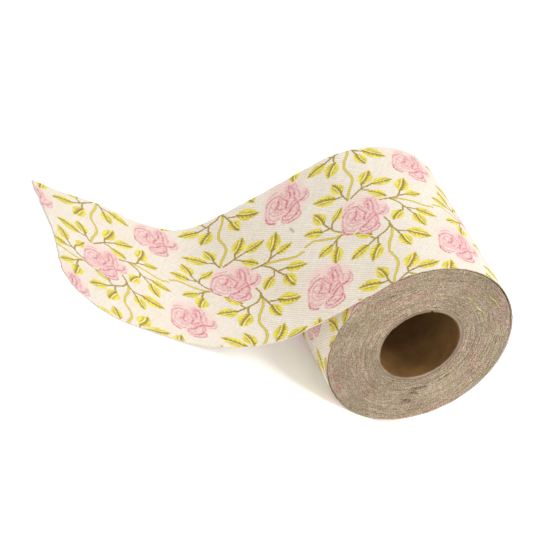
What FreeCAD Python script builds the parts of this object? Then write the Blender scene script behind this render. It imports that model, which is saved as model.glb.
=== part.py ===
# Roll of printed cotton cloth tape on a paper core, with its free end laid out on a table.
#
# Frame: millimetres, +Z up. The origin is the middle of the core's bore, Y is the roll's axis,
# and the near end of the roll faces -Y. The cloth comes over the top of the roll, leaves it on
# the -X side, sweeps down in one bend and lies on the table, whose top is the plane that the
# roll stands on, one roll radius below the origin.
import FreeCAD, Part

import math
import os

import Sketcher
from FreeCAD import Placement, Rotation, Vector

doc = FreeCAD.newDocument("fabric_roll")

# ---------------------------------------------------------------- driving dimensions
DIMENSIONS = {
    "tape_width": 100.0,  # width of the cloth, along the roll's axis
    "roll_radius": 50.5,  # outside of the roll, where it stands on the table
    "cloth_thick": 0.5,  # one layer of the cloth
    "turn_gap": 0.3,  # free space between the wound cloth and the outer turn
    "bore_radius": 21.5,  # hole through the core
    "core_length": 99.0,  # the core ends a little inside the cloth
    "ply_thick": 0.4,  # one ply of the core's board
    "starter_thick": 0.12,  # adhesive strip that holds the cloth's first edge to the core
    "starter_arc": 30.0,  # degrees of the core that the strip covers
    "starter_length": 94.0,
    "takeoff_angle": 62.5,  # degrees from the top, where the free cloth leaves the roll
    "bend_radius": 63.0,  # bend from the sloping run to the flat run, at the underside
    "flat_length": 59.0,  # cloth lying on the table, at the far edge
    "cut_bulge": 5.0,  # the hand-cut end runs this much longer beyond its middle
    "cut_turn": 8.0,  # distance of the cut's slight corner from the middle line
    "corner_radius": 30.0,  # round corner of the cut end, on the near side
    "turn_relief": 3.0,  # degrees by which the outer turn stops short of the take-off
    "waste_margin": 10.0,  # how far the cut-off waste reaches beyond the cloth
}
BODY_PLIES = 3  # grey plies between the core's liner and its wrap

sheet = doc.addObject("Spreadsheet::Sheet", "dimensions")
for row, (name, value) in enumerate(DIMENSIONS.items(), start=1):
    sheet.set(f"A{row}", name)
    sheet.set(f"B{row}", str(value))
    sheet.setAlias(f"B{row}", name)
doc.recompute()

AXIS_ALONG_Y = Rotation(Vector(1, 0, 0), -90)  # turns a cylinder's own Z axis to +Y
nodes = []  # the finished sub-parts, in the order they are written


def cell(name):
    """The value of a driving dimension."""
    return float(sheet.get(name))


def origin_plane(body, role):
    """One of a body's own origin planes."""
    return next(f for f in body.Origin.OriginFeatures if f.Role == role)


def new_sketch(body, name, role):
    sketch = body.newObject("Sketcher::SketchObject", name)
    sketch.AttachmentSupport = [(origin_plane(body, role), "")]
    sketch.MapMode = "FlatFace"
    return sketch


def bind(sketch, kind, args, expression):
    """Adds a dimension whose value follows the sheet."""
    value = float(sketch.evalExpression(expression))
    index = sketch.addConstraint(Sketcher.Constraint(kind, *args, value))
    sketch.setExpression(f"Constraints[{index}]", expression)


def add_node(shape_object, label):
    shape_object.Label = label
    nodes.append(shape_object)


# ---------------------------------------------------------------- core plies
def ring_body(label, inner, outer, length):
    """A tube along Y: two circles on the XZ plane, padded to both sides."""
    body = doc.addObject("PartDesign::Body", label + "_body")
    sketch = new_sketch(body, label + "_section", "XZ_Plane")
    for radius in (inner, outer):
        circle = sketch.addGeometry(Part.Circle(Vector(0, 0, 0), Vector(0, 0, 1), 10.0), False)
        sketch.addConstraint(Sketcher.Constraint("Coincident", circle, 3, -1, 1))
        bind(sketch, "Radius", (circle,), radius)
    pad = body.newObject("PartDesign::Pad", label + "_pad")
    pad.Profile = sketch
    pad.SideType = "Symmetric"
    pad.setExpression("Length", length)
    add_node(body, label)
    return body


def ply_radius(index):
    """Outer radius of the core after that many plies, as a sheet expression."""
    return f"dimensions.bore_radius + {index} * dimensions.ply_thick"


CORE_LENGTH = "dimensions.core_length"
ring_body("core_liner", ply_radius(0), ply_radius(1), CORE_LENGTH)
for ply in range(1, BODY_PLIES + 1):
    ring_body(f"core_ply_{ply}", ply_radius(ply), ply_radius(ply + 1), CORE_LENGTH)
ring_body("core_wrap", ply_radius(BODY_PLIES + 1), ply_radius(BODY_PLIES + 2), CORE_LENGTH)
CORE_OUTSIDE = ply_radius(BODY_PLIES + 2)


# ---------------------------------------------------------------- round tools
def cylinder_along_y(name, radius, length, sweep="360"):
    cylinder = doc.addObject("Part::Cylinder", name)
    cylinder.setExpression("Radius", radius)
    cylinder.setExpression("Height", length)
    cylinder.setExpression("Angle", sweep)
    cylinder.Placement = Placement(Vector(0, 0, 0), AXIS_ALONG_Y)
    cylinder.setExpression(".Placement.Base.y", f"-({length}) / 2")
    return cylinder


def cut(name, base, tool):
    result = doc.addObject("Part::Cut", name)
    result.Base, result.Tool = base, tool
    return result


# ---------------------------------------------------------------- adhesive starter strip
def strip_tool(name):
    """A sector of a thin tube on the core's outside: the strip, and the dent it makes in the cloth."""
    size = ("dimensions.starter_length", "dimensions.starter_arc")
    outside = cylinder_along_y(f"{name}_outside", f"{CORE_OUTSIDE} + dimensions.starter_thick", *size)
    inside = cylinder_along_y(f"{name}_inside", CORE_OUTSIDE, *size)
    return cut(name, outside, inside)


add_node(strip_tool("starter_strip"), "starter_tape")


# ---------------------------------------------------------------- wound cloth
WIDTH = "dimensions.tape_width"
wound_outside = "dimensions.roll_radius - dimensions.cloth_thick - dimensions.turn_gap"
wound_tube = cut(
    "wound_tube",
    cylinder_along_y("wound_outside", wound_outside, WIDTH),
    cylinder_along_y("wound_inside", CORE_OUTSIDE, WIDTH),
)
add_node(cut("wound_cloth", wound_tube, strip_tool("starter_dent")), "wound_fabric")


# ---------------------------------------------------------------- outer turn
# The last turn is a spiral that gains one cloth thickness. It is made of two half tubes: the
# lower one is round about the roll's axis, and the upper one has its centre half a thickness
# nearer to the take-off, so that it meets the lower one opposite the take-off and ends one
# thickness further out, where the free cloth leaves.
def half_turn(name, outside, shift, first_angle, sweep):
    """Part of a tube about Y, from first_angle and onwards by sweep, moved towards the take-off."""
    parts = []
    for suffix, radius in (("outside", outside), ("inside", f"{outside} - dimensions.cloth_thick")):
        cylinder = cylinder_along_y(f"{name}_{suffix}", radius, WIDTH, sweep)
        cylinder.Placement = Placement(
            cylinder.Placement.Base, Rotation(Vector(0, 1, 0), first_angle) * AXIS_ALONG_Y
        )
        cylinder.setExpression(".Placement.Base.x", f"-({shift}) * sin(dimensions.takeoff_angle * 1 deg)")
        cylinder.setExpression(".Placement.Base.z", f"({shift}) * cos(dimensions.takeoff_angle * 1 deg)")
        cylinder.setExpression(".Placement.Base.y", f"-({WIDTH}) / 2")
        parts.append(cylinder)
    return cut(name, parts[0], parts[1])


# A half tube starts at its cylinder's own X direction and runs about +Y. The take-off direction
# is takeoff_angle from +Z towards -X, which is this far about +Y from +X.
takeoff_turn = -90.0 - cell("takeoff_angle")
upper_half = half_turn(
    "upper_half",
    "dimensions.roll_radius + dimensions.cloth_thick / 2",
    "dimensions.cloth_thick / 2",
    takeoff_turn,
    "180",
)
lower_half = half_turn(
    "lower_half",
    "dimensions.roll_radius",
    "0",
    takeoff_turn + 180.0,
    "180 - dimensions.turn_relief",
)
outer_turn = doc.addObject("Part::Fuse", "outer_turn_spiral")
outer_turn.Base, outer_turn.Tool = upper_half, lower_half
add_node(outer_turn, "outer_turn")


# ---------------------------------------------------------------- free cloth
# The profile on the XZ plane: a sloping run along the tangent at the take-off, one bend and a
# flat run on the table, drawn at the underside and again one cloth thickness above it.
roll_radius = cell("roll_radius")
thick = cell("cloth_thick")
bend_radius = cell("bend_radius")
takeoff = math.radians(cell("takeoff_angle"))
slope_drop = roll_radius * (1 + math.cos(takeoff)) - bend_radius * (1 - math.cos(takeoff))
slope_run = slope_drop / math.sin(takeoff)

outward = Vector(-math.sin(takeoff), math.cos(takeoff), 0)  # from the axis to the take-off
onward = Vector(-math.cos(takeoff), -math.sin(takeoff), 0)  # along the sloping run


def profile_points(offset):
    """Start, bend's start, bend's end and free end of a line that lies offset above the underside."""
    start = outward * (roll_radius + offset)
    bend_start = start + onward * slope_run
    centre = bend_start + outward * (bend_radius - offset)
    bend_end = Vector(centre.x, centre.y - bend_radius + offset, 0)
    end = bend_end - Vector(cell("flat_length") + cell("cut_bulge"), 0, 0)
    return start, bend_start, bend_end, end, centre


def bend_arc(points, offset):
    centre = points[4]
    first = math.atan2(points[1].y - centre.y, points[1].x - centre.x)
    last = math.atan2(points[2].y - centre.y, points[2].x - centre.x)
    circle = Part.Circle(centre, Vector(0, 0, 1), bend_radius - offset)
    return Part.ArcOfCircle(circle, last, first)


under = profile_points(0.0)
above = profile_points(thick)
tail = doc.addObject("PartDesign::Body", "free_tail_body")
profile = new_sketch(tail, "tail_profile", "XZ_Plane")
slope_under = profile.addGeometry(Part.LineSegment(under[0], under[1]), False)
bend_under = profile.addGeometry(bend_arc(under, 0.0), False)
flat_under = profile.addGeometry(Part.LineSegment(under[2], under[3]), False)
end_face = profile.addGeometry(Part.LineSegment(under[3], above[3]), False)
flat_above = profile.addGeometry(Part.LineSegment(above[3], above[2]), False)
bend_above = profile.addGeometry(bend_arc(above, thick), False)
slope_above = profile.addGeometry(Part.LineSegment(above[1], above[0]), False)
start_face = profile.addGeometry(Part.LineSegment(above[0], under[0]), False)

START, END, CENTRE = 1, 2, 3
for first, first_point, second, second_point, kind in (
    (slope_under, END, bend_under, END, "Tangent"),
    (bend_under, START, flat_under, START, "Tangent"),
    (flat_under, END, end_face, START, "Coincident"),
    (end_face, END, flat_above, START, "Coincident"),
    (flat_above, END, bend_above, START, "Tangent"),
    (bend_above, END, slope_above, START, "Tangent"),
    (slope_above, END, start_face, START, "Coincident"),
    (start_face, END, slope_under, START, "Coincident"),
    (bend_under, CENTRE, bend_above, CENTRE, "Coincident"),
):
    profile.addConstraint(Sketcher.Constraint(kind, first, first_point, second, second_point))
profile.addConstraint(Sketcher.Constraint("Horizontal", flat_under))
profile.addConstraint(Sketcher.Constraint("Vertical", end_face))
profile.addConstraint(Sketcher.Constraint("Perpendicular", start_face, slope_under))
TAKEOFF = "dimensions.takeoff_angle * 1 deg"
SLOPE_DROP = f"dimensions.roll_radius * (1 + cos({TAKEOFF})) - dimensions.bend_radius * (1 - cos({TAKEOFF}))"
SLOPE_LENGTH = f"({SLOPE_DROP}) / sin({TAKEOFF})"
for kind, elements, expression in (
    ("Radius", (bend_under,), "dimensions.bend_radius"),
    ("Distance", (end_face,), "dimensions.cloth_thick"),
    ("Distance", (flat_under,), "dimensions.flat_length + dimensions.cut_bulge"),
    ("Distance", (slope_under,), SLOPE_LENGTH),
    ("DistanceX", (slope_under, START, -1, 1), f"dimensions.roll_radius * sin({TAKEOFF})"),
    ("DistanceY", (-1, 1, slope_under, START), f"dimensions.roll_radius * cos({TAKEOFF})"),
    ("DistanceY", (flat_under, START, -1, 1), "dimensions.roll_radius"),
):
    bind(profile, kind, elements, expression)
tail_pad = tail.newObject("PartDesign::Pad", "tail_pad")
tail_pad.Profile = profile
tail_pad.SideType = "Symmetric"
tail_pad.setExpression("Length", WIDTH)
doc.recompute()

# The free end was cut by hand: square at the far edge, longer beyond its middle, and round at
# the near corner. The sketch is the waste, seen from above.
half_width = cell("tape_width") / 2
corner = cell("corner_radius")
far_x = under[2].x - cell("flat_length")
bulge_x = far_x - cell("cut_bulge")
beyond = cell("waste_margin")
cut_line = [
    Vector(far_x, half_width + beyond, 0),
    Vector(far_x, cell("cut_turn"), 0),
    Vector(bulge_x, corner - half_width, 0),
    Vector(bulge_x + corner, -half_width, 0),
    Vector(bulge_x + corner, -half_width - beyond, 0),
    Vector(bulge_x - beyond, -half_width - beyond, 0),
    Vector(bulge_x - beyond, half_width + beyond, 0),
]
waste = new_sketch(tail, "cut_waste", "XY_Plane")
corner_circle = Part.Circle(Vector(bulge_x + corner, corner - half_width, 0), Vector(0, 0, 1), corner)
square_cut = waste.addGeometry(Part.LineSegment(cut_line[0], cut_line[1]), False)
slant_cut = waste.addGeometry(Part.LineSegment(cut_line[1], cut_line[2]), False)
round_cut = waste.addGeometry(Part.ArcOfCircle(corner_circle, math.pi, 1.5 * math.pi), False)
rest = [
    waste.addGeometry(Part.LineSegment(a, b), False)
    for a, b in zip(cut_line[3:], cut_line[4:] + cut_line[:1])
]
outline = [square_cut, slant_cut, round_cut, *rest]
for line, following in zip(outline, outline[1:] + outline[:1]):
    waste.addConstraint(Sketcher.Constraint("Coincident", line, END, following, START))
for line, kind in zip([square_cut, *rest], ("Vertical", "Vertical", "Horizontal", "Vertical", "Horizontal")):
    waste.addConstraint(Sketcher.Constraint(kind, line))
for point, kind in ((START, "Horizontal"), (END, "Vertical")):
    waste.addConstraint(Sketcher.Constraint(kind, round_cut, point, round_cut, CENTRE))
below_corner, waste_bottom, waste_left, waste_top = rest
BEND_END = (
    f"(dimensions.roll_radius + dimensions.bend_radius) * sin({TAKEOFF}) + {SLOPE_LENGTH} * cos({TAKEOFF})"
)
HALF_WIDTH = "dimensions.tape_width / 2"
for kind, elements, expression in (
    ("DistanceX", (square_cut, START, -1, 1), f"{BEND_END} + dimensions.flat_length"),
    ("DistanceY", (-1, 1, square_cut, START), f"{HALF_WIDTH} + dimensions.waste_margin"),
    ("DistanceY", (-1, 1, square_cut, END), "dimensions.cut_turn"),
    ("DistanceX", (slant_cut, END, slant_cut, START), "dimensions.cut_bulge"),
    ("Radius", (round_cut,), "dimensions.corner_radius"),
    ("DistanceY", (round_cut, END, -1, 1), HALF_WIDTH),
    ("DistanceY", (below_corner, END, below_corner, START), "dimensions.waste_margin"),
    ("DistanceX", (waste_left, START, slant_cut, END), "dimensions.waste_margin"),
):
    bind(waste, kind, elements, expression)
end_cut = tail.newObject("PartDesign::Pocket", "end_cut")
end_cut.Profile = waste
end_cut.Type = "ThroughAll"
end_cut.SideType = "Symmetric"
add_node(tail, "free_tail")
doc.recompute()

# ---------------------------------------------------------------- checks and export
uncut, trimmed = tail_pad.Shape.Volume, tail.Shape.Volume
waste_area = (1 - math.pi / 4) * corner**2 + cell("cut_bulge") * (half_width - cell("cut_turn"))
waste_area += cell("cut_bulge") * (cell("cut_turn") - corner + half_width) / 2
if abs(uncut - trimmed - waste_area * thick) > 0.5:
    raise RuntimeError(f"the end cut took {uncut - trimmed:.2f} mm3, not {waste_area * thick:.2f} mm3")

for part in doc.Objects:
    if {"Invalid", "Error"} & set(part.State):
        raise RuntimeError(f"{part.Label} is {part.State}")
for node in nodes:
    if node.Shape.isNull() or not node.Shape.isValid() or not node.Shape.Solids:
        raise RuntimeError(f"{node.Label} has no valid solid")

os.makedirs("parts", exist_ok=True)
for node in nodes:
    node.Shape.exportStep(f"parts/{node.Label}.step")
    box = node.Shape.BoundBox
    print(
        f"{node.Label}: {len(node.Shape.Solids)} solid, {node.Shape.Volume:.1f} mm3, "
        f"x {box.XMin:.2f} to {box.XMax:.2f}, y {box.YMin:.2f} to {box.YMax:.2f}, "
        f"z {box.ZMin:.2f} to {box.ZMax:.2f}"
    )
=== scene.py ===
import math

import bpy
import numpy as np
from mathutils import Matrix, Vector


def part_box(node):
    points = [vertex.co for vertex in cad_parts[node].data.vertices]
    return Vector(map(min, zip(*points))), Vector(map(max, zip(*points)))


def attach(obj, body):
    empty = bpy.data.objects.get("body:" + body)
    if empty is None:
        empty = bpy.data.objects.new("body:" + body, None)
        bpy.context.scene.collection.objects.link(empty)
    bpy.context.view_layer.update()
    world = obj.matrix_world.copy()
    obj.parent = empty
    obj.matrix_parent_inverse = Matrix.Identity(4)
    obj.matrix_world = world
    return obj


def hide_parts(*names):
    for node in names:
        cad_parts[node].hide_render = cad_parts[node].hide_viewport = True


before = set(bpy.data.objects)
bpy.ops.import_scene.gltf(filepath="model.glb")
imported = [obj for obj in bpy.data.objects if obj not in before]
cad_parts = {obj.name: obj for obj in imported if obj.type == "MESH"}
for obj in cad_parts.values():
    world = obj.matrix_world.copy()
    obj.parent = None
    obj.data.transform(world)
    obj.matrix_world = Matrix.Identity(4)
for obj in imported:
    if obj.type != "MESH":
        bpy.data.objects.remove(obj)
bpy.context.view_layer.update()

MM = 0.001

# ---------------------------------------------------------------- sizes, from the frame
turn_low, turn_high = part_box("outer_turn")
tail_low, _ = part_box("free_tail")
_, wound_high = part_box("wound_fabric")
_, liner_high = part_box("core_liner")
_, wrap_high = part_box("core_wrap")

HALF_WIDTH = turn_high.y
FLOOR = turn_low.z  # the top of the table, which the roll and the tail rest on
ROLL = -turn_low.z  # outer radius of the roll where it rests
TAIL_FAR = tail_low.x  # furthest point of the free end
WOUND_OUTSIDE = wound_high.z
WOUND_TURNS = 51  # of the cloth, under its outer turn
LINER_OUTSIDE = liner_high.z
CORE_OUTSIDE = wrap_high.z
CORE_HALF = wrap_high.y


def ramp(low, high, x):
    """Straight step from 0 at low to 1 at high; low may be the larger one."""
    return np.clip((x - low) / (high - low), 0, 1)


def smooth(low, high, x):
    """Smooth step from 0 at low to 1 at high; low may be the larger one."""
    t = ramp(low, high, x)
    return t * t * (3 - 2 * t)


def hump(at, half, x):
    """A smooth hump of height 1 at one place, which fades out over about twice half."""
    return np.exp(-((x - at) / half) ** 2)


def waves(seed, x, length, count=6, y=None):
    """A smooth random curve of x, about -1 to 1, whose shortest waves are about length long."""
    pick = np.random.default_rng(seed)
    total = np.zeros(np.broadcast(x, 0 if y is None else y).shape)
    for _ in range(count):
        size = length * pick.uniform(1.0, 3.5)
        phase = pick.uniform(0, 2 * math.pi)
        turned = x / size
        if y is not None:
            lean = pick.uniform(0, 2 * math.pi)
            turned = (x * math.cos(lean) + y * math.sin(lean)) / size
        total = total + np.sin(turned * 2 * math.pi + phase)
    return total / math.sqrt(count) / 1.2


def mesh_object(name, points, faces):
    mesh = bpy.data.meshes.new(name)
    mesh.from_pydata(np.asarray(points).tolist(), [], np.asarray(faces).tolist())
    mesh.update()
    mesh.polygons.foreach_set("use_smooth", [True] * len(mesh.polygons))
    piece = bpy.data.objects.new(name, mesh)
    bpy.context.scene.collection.objects.link(piece)
    return piece


def set_uv(piece, name, uv):
    """A UV layer from one (u, v) for each vertex."""
    mesh = piece.data
    layer = mesh.uv_layers.new(name=name)
    corners = np.empty(len(mesh.loops), np.int32)
    mesh.loops.foreach_get("vertex_index", corners)
    layer.data.foreach_set("uv", np.asarray(uv, np.float32)[corners].ravel())


def set_number(piece, name, values):
    """A number for each vertex, which a material can read."""
    layer = piece.data.attributes.new(name, "FLOAT", "POINT")
    layer.data.foreach_set("value", np.asarray(values, np.float32))


def grid_faces(rows, columns, closed_rows=False, closed_columns=False):
    """Quads over rows x columns points that are numbered row by row."""
    row = np.arange(rows if closed_rows else rows - 1)[:, None]
    column = np.arange(columns if closed_columns else columns - 1)[None, :]
    next_row = (row + 1) % rows
    next_column = (column + 1) % columns
    quads = np.stack([
        row * columns + column,
        row * columns + next_column,
        next_row * columns + next_column,
        next_row * columns + column,
    ], axis=-1)
    return quads.reshape(-1, 4)


# ---------------------------------------------------------------- camera
VIEW_AZIMUTH = math.radians(-41.33)
VIEW_ELEVATION = math.radians(21.06)
VIEW_ROLL = math.radians(40.35)  # the picture is turned by this about its middle
VIEW_DISTANCE = 1.3175
AIM_RIGHT = -59.4 * MM  # the middle of the picture, from the core's middle
AIM_UP = 6.5 * MM
LENS = 169.5


def make_camera():
    back = Vector((
        math.sin(VIEW_AZIMUTH) * math.cos(VIEW_ELEVATION),
        -math.cos(VIEW_AZIMUTH) * math.cos(VIEW_ELEVATION),
        math.sin(VIEW_ELEVATION),
    ))
    level_right = Vector((0, 0, 1)).cross(back).normalized()
    level_up = back.cross(level_right)
    right = level_right * math.cos(VIEW_ROLL) + level_up * math.sin(VIEW_ROLL)
    up = back.cross(right)
    place = right * AIM_RIGHT + up * AIM_UP + back * VIEW_DISTANCE
    camera = bpy.data.objects.new("camera", bpy.data.cameras.new("camera"))
    camera.data.lens = LENS
    camera.data.sensor_width = 36
    camera.data.clip_start = 0.05
    camera.matrix_world = Matrix((
        (right.x, up.x, back.x, place.x),
        (right.y, up.y, back.y, place.y),
        (right.z, up.z, back.z, place.z),
        (0, 0, 0, 1),
    ))
    bpy.context.scene.collection.objects.link(camera)
    bpy.context.scene.camera = camera


# ---------------------------------------------------------------- node building
class Graph:
    """Adds shader nodes in the order in which they are evaluated, and wires them."""

    def __init__(self, tree):
        self.tree = tree
        self.count = 0

    def node(self, kind, **settings):
        made = self.tree.nodes.new(kind)
        made.location = (self.count % 24 * 190, -(self.count // 24) * 240)
        self.count += 1
        for key, value in settings.items():
            setattr(made, key, value)
        return made

    def feed(self, socket, value):
        if isinstance(value, bpy.types.NodeSocket):
            self.tree.links.new(value, socket)
        elif value is not None:
            socket.default_value = value

    def math(self, operation, a, b=None, c=None):
        made = self.node("ShaderNodeMath", operation=operation)
        for socket, value in zip(made.inputs, (a, b, c)):
            self.feed(socket, value)
        return made.outputs[0]

    def times(self, a, b):
        return self.math("MULTIPLY", a, b)

    def times_plus(self, a, b, c):
        return self.math("MULTIPLY_ADD", a, b, c)

    def plus(self, a, b):
        return self.math("ADD", a, b)

    def larger(self, a, b):
        return self.math("MAXIMUM", a, b)

    def absolute(self, a):
        return self.math("ABSOLUTE", a)

    def sine(self, a):
        return self.math("SINE", a)

    def vector(self, operation, a, b=None, c=None):
        made = self.node("ShaderNodeVectorMath", operation=operation)
        for socket, value in zip(made.inputs, (a, b, c)):
            self.feed(socket, value)
        gives_number = operation in ("LENGTH", "DISTANCE", "DOT_PRODUCT")
        return made.outputs["Value" if gives_number else "Vector"]

    def scaled(self, a, factor):
        made = self.node("ShaderNodeVectorMath", operation="SCALE")
        self.feed(made.inputs[0], a)
        self.feed(made.inputs["Scale"], factor)
        return made.outputs["Vector"]

    def position(self):
        """The place in space, in millimetres."""
        return self.scaled(self.node("ShaderNodeNewGeometry").outputs["Position"], 1000.0)

    def attribute(self, name):
        """A number that set_number gave the mesh."""
        return self.node("ShaderNodeAttribute", attribute_name=name).outputs["Fac"]

    def turned(self, point, centre, angle):
        """The point turned back by angle about a centre in its own plane."""
        made = self.node("ShaderNodeVectorRotate", rotation_type="Z_AXIS")
        self.feed(made.inputs["Vector"], point)
        made.inputs["Center"].default_value = (*centre, 0)
        made.inputs["Angle"].default_value = -angle
        return made.outputs["Vector"]

    def in_oval(self, point, centre, half_sizes, angle):
        """The point as a share of an oval's half sizes: on its edge the result is 1 long."""
        turned = self.turned(point, centre, angle)
        shares = (1 / half_sizes[0], 1 / half_sizes[1], 1)
        shift = (-centre[0] * shares[0], -centre[1] * shares[1], 0)
        return self.vector("MULTIPLY_ADD", turned, shares, shift)

    def combine(self, x, y, z=0.0):
        made = self.node("ShaderNodeCombineXYZ")
        for socket, value in zip(made.inputs, (x, y, z)):
            self.feed(socket, value)
        return made.outputs[0]

    def separate(self, vector):
        made = self.node("ShaderNodeSeparateXYZ")
        self.feed(made.inputs[0], vector)
        return made.outputs[0], made.outputs[1], made.outputs[2]

    def step(self, value, low, high, to_low=0.0, to_high=1.0):
        """Smooth step of value, from to_low at low to to_high at high; low may be the larger."""
        if low > high:
            low, high, to_low, to_high = high, low, to_high, to_low
        made = self.node("ShaderNodeMapRange", interpolation_type="SMOOTHSTEP")
        for socket, given in zip(made.inputs, (value, low, high, to_low, to_high)):
            self.feed(socket, given)
        return made.outputs[0]

    def mix(self, factor, a, b, kind="FLOAT"):
        made = self.node("ShaderNodeMix", data_type=kind)
        first = {"FLOAT": 2, "VECTOR": 4, "RGBA": 6}[kind]
        self.feed(made.inputs[0], factor)
        self.feed(made.inputs[first], a)
        self.feed(made.inputs[first + 1], b)
        return made.outputs[{"FLOAT": 0, "VECTOR": 1, "RGBA": 2}[kind]]

    def tint(self, factor, a, b):
        """Colour a with colour b over it."""
        return self.mix(factor, a, b, "RGBA")

    def noise(self, vector, scale, detail=2.0, roughness=0.5):
        made = self.node("ShaderNodeTexNoise")
        self.feed(made.inputs["Vector"], vector)
        made.inputs["Scale"].default_value = scale
        made.inputs["Detail"].default_value = detail
        made.inputs["Roughness"].default_value = roughness
        return made.outputs[0]


def paint(red, green, blue):
    """A linear colour from display values of 0 to 255."""
    def linear(value):
        part = value / 255
        return part / 12.92 if part <= 0.04045 else ((part + 0.055) / 1.055) ** 2.4
    return (linear(red), linear(green), linear(blue), 1.0)


# ---------------------------------------------------------------- the print
# The print repeats over a cell about 74 mm along the strip and 66 mm across it. Its places are
# in millimetres from the middle of the cell: x runs along the strip to its free end, y across
# it to the far edge. Each cell has a rose with leaf sprigs in its middle, a second rose half a
# cell away, and wavy vines that join the middle roses to their neighbours.
REPEAT_ALONG = (74.0, -2.5)
REPEAT_ACROSS = (-0.7, 66.0)
CELL_MIDDLE = (46.7, 1.3)  # of one cell, from the top of the roll and the middle of the strip
ROSES = ((0.0, 1.3), (32.6, -30.8))

# Each leaf: where it leaves its stem, its tip, and its width.
LEAVES = (
    ((-5.6, 21.8), (-13.1, 30.9), 6.2),
    ((-10.4, 20.4), (-22.4, 22.2), 5.2),
    ((-23.0, 12.2), (-29.6, 23.2), 6.6),
    ((-24.7, 9.4), (-34.3, 10.8), 4.6),
    ((-14.2, 9.2), (-6.6, 16.0), 4.6),
    ((-25.6, -2.4), (-36.0, -7.8), 5.4),
    ((-23.8, -6.0), (-25.8, -16.2), 6.2),
    ((-17.6, -2.9), (-10.8, -9.2), 5.4),
    ((5.6, 21.2), (7.8, 30.0), 5.8),
    ((9.4, 19.6), (20.9, 24.2), 6.4),
    ((16.6, 5.9), (9.0, 12.2), 4.0),
    ((20.9, 8.0), (23.2, 17.6), 6.0),
    ((23.4, 3.4), (32.6, 7.6), 5.8),
    ((22.0, -7.8), (31.8, -11.2), 4.8),
    ((20.4, -11.0), (25.6, -20.4), 5.8),
    ((2.4, -14.6), (10.0, -8.6), 5.2),
    ((-14.4, -18.8), (-25.8, -24.6), 6.8),
    ((-10.5, -20.4), (-12.4, -29.6), 5.8),
    ((6.2, -19.8), (17.8, -23.0), 5.2),
    ((1.4, -22.2), (8.8, -30.8), 6.0),
)
LEAF_SPREAD = 1.08  # the ink of a leaf spreads a little beyond its drawn width
LEAF_SHIFT = (-0.35, 0.2)  # the leaves are printed this much out of line with their stems

# Thin stems, as points that each runs through.
STEMS = (
    ((-10.1, 7.6), (-16.2, 7.6), (-19.7, 7.8), (-21.5, 9.6), (-23.2, 12.6)),
    ((-21.0, 8.8), (-24.9, 9.5)),
    ((-15.6, 7.0), (-18.7, 4.0), (-20.2, 1.0), (-21.6, -2.0), (-23.8, -6.4)),
    ((-20.2, 0.5), (-18.7, -3.0), (-17.0, -4.4)),
    ((-21.4, -1.2), (-25.8, -2.4)),
    ((2.5, 15.2), (-1.5, 17.4), (-5.0, 19.2), (-10.6, 20.5)),
    ((-5.0, 19.2), (-5.8, 22.2)),
    ((-4.6, 18.4), (-7.6, 16.4)),
    ((4.6, 15.2), (5.3, 18.2), (5.8, 21.6)),
    ((5.5, 19.0), (9.8, 19.9)),
    ((15.0, -2.8), (17.7, 0.0), (18.9, 2.5), (20.2, 5.6), (21.0, 8.6)),
    ((18.5, 2.0), (17.7, 4.5), (16.2, 6.4)),
    ((19.5, 3.2), (23.8, 3.9)),
    ((15.7, -4.8), (18.7, -5.8), (22.4, -7.9)),
    ((18.9, -6.0), (20.2, -8.8), (21.2, -11.4)),
    ((-7.8, -5.8), (-8.8, -9.6), (-8.6, -14.1)),
    ((-8.8, -10.1), (-7.6, -12.9), (-5.0, -15.2), (0.0, -17.2), (6.4, -19.7)),
    ((0.0, -17.2), (1.2, -19.8), (1.8, -22.6)),
    ((1.8, -17.6), (3.4, -15.2)),
    ((-9.2, -14.6), (-10.1, -17.7), (-10.7, -20.8)),
    ((-9.8, -17.0), (-14.6, -19.0)),
)

# Thick wavy vines. Those that leave the cell come back in on its other side.
VINES = (
    ((-8.7, -13.0), (-8.2, -15.4), (-6.6, -19.2), (-3.0, -24.2), (-1.3, -28.8), (-2.5, -36.0)),
    ((-2.4, 36.0), (-3.3, 30.3), (-2.8, 26.8), (-0.5, 23.2), (2.0, 19.7), (4.2, 15.5)),
    ((14.8, -4.8), (19.2, -4.2), (22.7, -2.5), (26.3, -0.5), (29.6, 1.2), (34.6, 0.5)),
    ((36.4, -1.8), (40.0, -2.3)),
    ((-39.6, 3.6), (-36.8, 1.0), (-34.0, 0.5), (-30.3, 1.8), (-25.3, 4.5), (-20.2, 6.3), (-15.6, 7.2)),
)

# The solid parts of a rose: middle, half sizes and turn in degrees, from the rose's own middle.
PETALS = (
    ((5.8, 1.0), (6.8, 7.0), 0),
    ((-4.6, 5.0), (5.0, 6.6), 8),
    ((-7.6, -0.4), (5.0, 3.8), -25),
    ((9.0, -3.4), (5.6, 5.6), -20),
    ((-0.8, -3.6), (6.6, 4.4), -30),
    ((1.4, -9.8), (5.8, 4.4), 4),
)
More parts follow.
